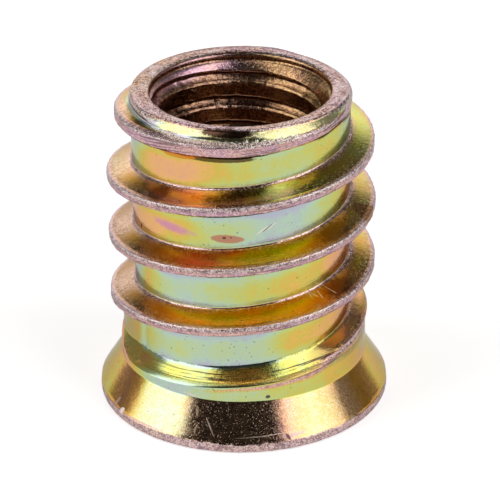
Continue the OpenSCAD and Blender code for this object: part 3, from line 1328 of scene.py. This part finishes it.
    def outside(self) -> dict[str, Array]:
        """Lands, flanks, roots and neck.

        Returns:
            Each attribute's values.
        """
        th, form, turn, depth, r = self.body.thread, self.body.outside, self.turn, self.depth, self.r
        # Turns along the groove, and turns along the nearest ridge
        tau = turn + np.floor((depth - th.start_depth) / th.lead - turn)
        s = turn + np.round((depth - th.start_depth) / th.lead - turn)
        s = np.where((s < 0.3) & (depth > th.centre(s) + 1.8), s + 1.0, s)
        below = depth - (th.start_depth + th.lead * tau)
        # Place across the land: -1 at its upper edge and 1 at its lower edge
        upper, lower = th.land_edges(s)
        off, wide = depth - (upper + lower) / 2, (lower - upper) / 2
        across = off / wide
        flank_turn = np.where(off < 0.0, s, s + 1.0)
        # Regions
        in_root = 1.0 - step(4.99, 5.10, r)
        neck = step(11.9, 12.1, depth) * step(5.55, 5.62, r)
        land = step(wide + 0.09, wide + 0.03, np.abs(off)) * step(0.2, 0.09, form.crest_radius(s) - r)
        land = land * step(-0.26, -0.2, s) * step(11.9, 11.4, depth)
        clear = (1.0 - in_root) * (1.0 - land) * (1.0 - neck)
        # Rounded lip of the tip face, and the slanted band that breaks it at the front
        front = window(self.side, (-0.2, -0.14), (0.10, 0.16))
        slant = step(0.39, 0.36, depth) * front
        lip = step(0.34, 0.16, depth) * step(5.06, 4.96, r)
        lip = np.maximum(lip * (1.0 - slant), window(depth, (0.38, 0.41), (0.56, 0.62)) * front)
        flanks = (1.0 - in_root) * (1.0 - neck) * (1.0 - np.clip(land + slant + lip, 0.0, 1.0))
        # Wear: crests with a rubbed upper edge that is also a painted bright highlight line, specks and a polished
        # rest, dusty flanks; the flanks' paler ends at the left of the front are a painted reflection
        strip = self.strip()
        early = step(0.26, 0.18, np.abs(s))
        rub_and_highlight_line = land * bump(across, -1.0, 0.34)
        specks = land * window(across, (-1.0, -0.75), (-0.15, 0.05)) * (1.0 - early)
        polish = land * np.maximum(step(-0.15, 0.1, across), early) * window(across, (-1.2, -1.0), (1.0, 1.15))
        dusty = clear * step(5.5, 5.95, r)
        # Painted reflection: paler, speckled ends of the flanks at the left of the front
        ends = clear * window(self.side, (0.18, 0.215), (0.24, 0.30)) * step(11.0, 10.6, depth)
        foot = bump(below, 2.33, 0.05) * step(5.5, 5.3, r) * step(2.9, 2.6, tau)
        # Painted shade: thin dark lines in the corners at both sides of the groove's floor
        corner = bump(below, 0.765, 0.03) + bump(below, 2.315, 0.03)
        # Film: roots paler at both walls, flanks, the neck as the lowest root
        root = self.along(self.ROOTS, tau) + 0.2 * step(1.25, 0.85, below) + 0.16 * step(1.85, 2.25, below)
        low = mix(self.along(self.ROOTS, turn + 4.0), self.along(self.ROOTS, turn + 3.0), step(0.4, 0.6, turn))
        film = mix(mix(self.along(self.FLANKS, flank_turn), root, in_root), low, neck)
        film = mix(film, self.WORN_FILM, np.clip(land + foot + 0.8 * strip, 0.0, 1.0))
        worn = (
            rub_and_highlight_line, 0.75 * specks, 0.35 * polish, 0.35 * strip, 0.8 * lip, 0.35 * slant, 0.2 * dusty, 0.35 * ends,
            0.85 * foot,
        )
        bare = np.clip(np.max(worn, axis=0), 0.0, 1.0)
        grime = 0.65 * specks + 0.25 * polish + 0.35 * strip + 0.25 * lip + 0.1 * slant + 0.35 * dusty + 0.3 * ends
        # Painted shade in the groove's corners and along the lands' lower edges, added to the dirt
        grime = grime + 0.8 * corner * step(5.3, 5.1, r) * (1.0 - land) + 0.9 * land * bump(across, 1.12, 0.15)
        grain = rub_and_highlight_line + specks + 0.3 * polish + 0.3 * strip + lip + 0.05 * slant + 0.1 * flanks
        return {
            "film": mix(film, self.SLANT_FILM, slant),
            "bare": bare,
            "grime": np.clip(np.maximum(grime, 0.6 * foot), 0.0, 1.0),
            "grain": np.clip(grain, 0.0, 1.0),
            "scuff": 0.7 * bare * (1.0 - slant) * (1.0 - polish) + 0.35 * flanks * step(5.2, 5.9, r),
            "umber": self.along(self.UMBER_AND_DARK_REFLECTION, flank_turn) * flanks,
            "amber": self.along(self.AMBER, flank_turn) * flanks,
            "lay": below,
            "turned": np.clip(self.last_flank() * (1.0 - neck) + 0.7 * polish, 0.0, 1.0),
        }

    def last_flank(self) -> Array:
        """The last flank, where the tool's lines show: 1 on the flank, 0 outside it."""
        around = window(self.last_turn, (2.76, 2.84), (3.06, 3.2))
        return window(self.depth, (11.42, 11.48), (12.3, 12.6)) * window(self.r, (5.05, 5.15), (5.66, 5.72)) * around

    def strip(self) -> Array:
        """Scuffed strip under the edge of the last flank, widest at the right.

        Returns:
            1 in the strip, 0 outside it.
        """
        th, b, tau = self.body.thread, self.body.blank, self.last_turn
        past = self.depth - th.corner(tau, b.crest_r) - th.lower_rise(tau) * (b.neck_r - th.root_r)
        inside = step(-0.03, 0.03, past) * step(0.04, -0.02, past - self.STRIP_WIDTH.at(tau))
        return inside * window(tau, (2.74, 2.80), (3.00, 3.08)) * step(5.5, 5.6, self.r)

    def cone(self) -> dict[str, object]:
        """Flange cone: film with amber at both sides, darkened there with painted dark reflection; a scuffed middle,
        also darkened with painted dark reflection; and painted highlights beside it.

        Returns:
            Each attribute's values.
        """
        around, side = np.where(self.turn > 0.5, self.turn, self.turn + 1.0), self.side
        film, amber = (self.along((tone, tone), around) for tone in (self.CONE, self.CONE_AMBER))
        # Scuffed middle, darkened with painted dark reflection where it faces the front
        worn = step(0.075, 0.04, np.abs(side - 0.01))
        # Painted highlights: paler zinc on either side, where the lights' reflections fall
        painted_highlight_sides = step(0.05, 0.06, np.abs(side - 0.005)) * step(0.16, 0.13, np.abs(side + 0.005))
        return self.coat(
            film=film, bare=0.3 * painted_highlight_sides + 0.2 * worn, grime=0.1 + 0.4 * worn, grain=0.05, scuff=0.09 * worn,
            umber=np.maximum(0.5 * worn, 0.6 * amber), amber=amber,
        )

    def ring(self) -> dict[str, object]:
        """Tip ring: rubbed in streaks that run round it, with film of another colour at each side.

        Returns:
            Each attribute's values.
        """
        streak = self.streaks.at(self.turn, self.r, 44, 0.17)
        film = self.RING_FILM.at(self.turn)
        return self.coat(film=film, bare=0.6 + 0.35 * streak, grime=0.6 - 0.4 * streak, grain=0.6, scuff=0.6)

    def bore(self) -> dict[str, object]:
        """Bore: brown film under painted shade, a khaki right wall as painted light, a pink painted highlight on the
        countersink at the back left and a gold painted highlight below it.

        Returns:
            Each attribute's values.
        """
        turn, depth = self.turn, self.depth
        # Pink painted highlight on the countersink
        pink = window(depth, (0.36, 0.42), (0.9, 1.0)) * window(turn, (0.16, 0.26), (0.50, 0.56))
        pink = np.maximum(pink, 0.5 * step(0.3, 0.2, depth) * window(turn, (0.3, 0.36), (0.6, 0.66)))
        # Gold painted highlight on a crest deeper down
        gold = window(depth, (2.45, 2.6), (2.95, 3.05)) * bump(turn, 0.43, 0.05)
        # Khaki film as painted light on the right wall
        khaki = 0.30 * step(0.46, 0.58, turn)
        bright = np.maximum(pink, gold)
        # Dark colour over the whole bore as painted shade, less at the painted highlights
        return self.coat(
            film=0.02 + np.maximum(0.5 * gold, khaki), bare=0.08 + 0.2 * pink + 0.4 * gold,
            grime=0.62 - 0.45 * bright, grain=0.30, scuff=0.10, umber=0.92 - 0.85 * np.maximum(bright, khaki),
        )


# ---------------------------------------------------------------- studio


@dataclass(frozen=True)
class CameraView:
    """The camera's place and lens. Lengths in millimetres, angles in degrees."""

    elevation: float = 26.93
    distance: float = 119.07
    lens: float = 186.1
    sensor: float = 36.0
    roll: float = -0.66
    aim_x: float = 0.353
    aim_z: float = 6.862

    def build(self) -> None:
        """Makes the camera and sets it as the scene's."""
        data = bpy.data.cameras.new("camera")
        data.lens, data.sensor_width = self.lens, self.sensor
        data.clip_start, data.clip_end = 0.01, 10.0
        camera = bpy.data.objects.new("camera", data)
        bpy.context.scene.collection.objects.link(camera)
        e = math.radians(self.elevation)
        aim = Vector((self.aim_x, 0.0, self.aim_z)) * MM
        camera.location = aim + Vector((0.0, -math.cos(e), math.sin(e))) * self.distance * MM
        camera.rotation_euler = (aim - camera.location).to_track_quat("-Z", "Y").to_euler()
        camera.rotation_euler.rotate_axis("Z", math.radians(self.roll))
        bpy.context.scene.camera = camera


@dataclass(frozen=True)
class SoftField:
    """A soft-edged field of light in the surroundings. Angles in degrees; azimuth 0 is the front, + to the right."""

    azimuth: float
    half_width: float
    low: float
    high: float
    level: float
    soft: float


@dataclass(frozen=True)
class Studio:
    """White floor and a ring of soft light with a dim front."""

    base_level: float = 0.035
    floor_half: float = 0.6
    floor_z: float = -0.02 * MM
    floor_colour: tuple[float, float, float, float] = (0.85, 0.85, 0.86, 1.0)
    floor_glow: float = 0.60
    floor_gloss: float = 0.38
    fields: tuple[SoftField, ...] = (
        SoftField(-74.0, 24.0, -8.0, 78.0, 1.75, 4.5),
        SoftField(58.5, 26.5, -8.0, 78.0, 1.75, 4.5),
        SoftField(-113.0, 15.0, -8.0, 60.0, 0.24, 5.0),
        SoftField(106.5, 20.0, -8.0, 60.0, 0.20, 5.0),
        SoftField(180.0, 24.0, -12.0, 34.0, 1.3, 7.0),
        SoftField(-146.0, 17.0, -12.0, 27.0, 0.50, 3.0),
        SoftField(146.0, 17.0, -12.0, 28.0, 0.42, 4.0),
        SoftField(180.0, 50.0, 36.0, 60.0, 0.10, 6.0),
    )

    def build(self) -> None:
        """Makes the floor and the world."""
        self.build_floor()
        self.build_world()

    def build_floor(self) -> None:
        """White floor that keeps the object's shadow."""
        mesh = bpy.data.meshes.new("floor")
        h = self.floor_half
        mesh.from_pydata([(-h, -h, 0), (h, -h, 0), (h, h, 0), (-h, h, 0)], [], [(0, 1, 2, 3)])
        floor = bpy.data.objects.new("floor", mesh)
        floor.location.z = self.floor_z
        bpy.context.scene.collection.objects.link(floor)
        material = bpy.data.materials.new("white_floor")
        t = NodeTree(material)
        out = t.add("OutputMaterial")
        shader = t.add("BsdfDiffuse")
        t.feed(shader.inputs["Color"], self.floor_colour)
        rays = t.add("LightPath").outputs
        plain = t.times(rays["Is Camera Ray"], self.floor_glow)
        mirrored = t.times(rays["Is Glossy Ray"], self.floor_gloss)
        glow = t.add("Emission")
        t.feed(glow.inputs["Color"], (1, 1, 1, 1))
        t.feed(glow.inputs["Strength"], t.plus(plain, mirrored))
        both = t.add("AddShader")
        t.feed(both.inputs[0], shader.outputs[0])
        t.feed(both.inputs[1], glow.outputs[0])
        t.feed(out.inputs[0], both.outputs[0])
        mesh.materials.append(material)

    def build_world(self) -> None:
        """Surroundings: the fields of light, seen as white by the camera."""
        world = bpy.data.worlds.new("studio")
        bpy.context.scene.world = world
        t = NodeTree(world)
        out = t.add("OutputWorld")
        x, y, z = t.split(t.add("TexCoord").outputs["Generated"])
        azimuth = t.maths("DEGREES", t.maths("ARCTAN2", x, t.times(y, -1.0)))
        elevation = t.maths("DEGREES", t.maths("ARCSINE", z))
        level: object = self.base_level
        for f in self.fields:
            off = t.maths("ABSOLUTE", t.maths("WRAP", t.minus(azimuth, f.azimuth), 180.0, -180.0))
            across = t.ramp_between(f.half_width + f.soft, f.half_width - f.soft, off)
            above = t.ramp_between(f.low - f.soft, f.low + f.soft, elevation)
            below = t.ramp_between(f.high + f.soft, f.high - f.soft, elevation)
            level = t.plus(level, t.times(t.times(across, t.times(above, below)), f.level))
        back = t.add("Background")
        camera_ray = t.add("LightPath").outputs["Is Camera Ray"]
        t.feed(back.inputs["Color"], t.blend(camera_ray, level, (1, 1, 1, 1)))
        t.feed(out.inputs[0], back.outputs[0])


def main() -> None:
    """Builds the scene piece by piece."""
    logging.basicConfig(level=logging.INFO, format="%(name)s: %(message)s")
    low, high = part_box(NODE)
    blank = Blank(length=(high.z - low.z) / MM, flange_r=(high.x - low.x) / 2 / MM)
    form = InsertBody(blank, OuterThread(), BoreThread(), Socket())
    body = form.build()
    Dressing(form, body).apply()
    body.data.materials.append(YellowZinc().build())
    log.info("insert_body: %d faces", len(body.data.polygons))
    CameraView().build()
    Studio().build()
    bpy.context.scene.view_settings.view_transform = "Standard"
    bpy.context.view_layer.update()


if __name__ == "__main__":
    main()
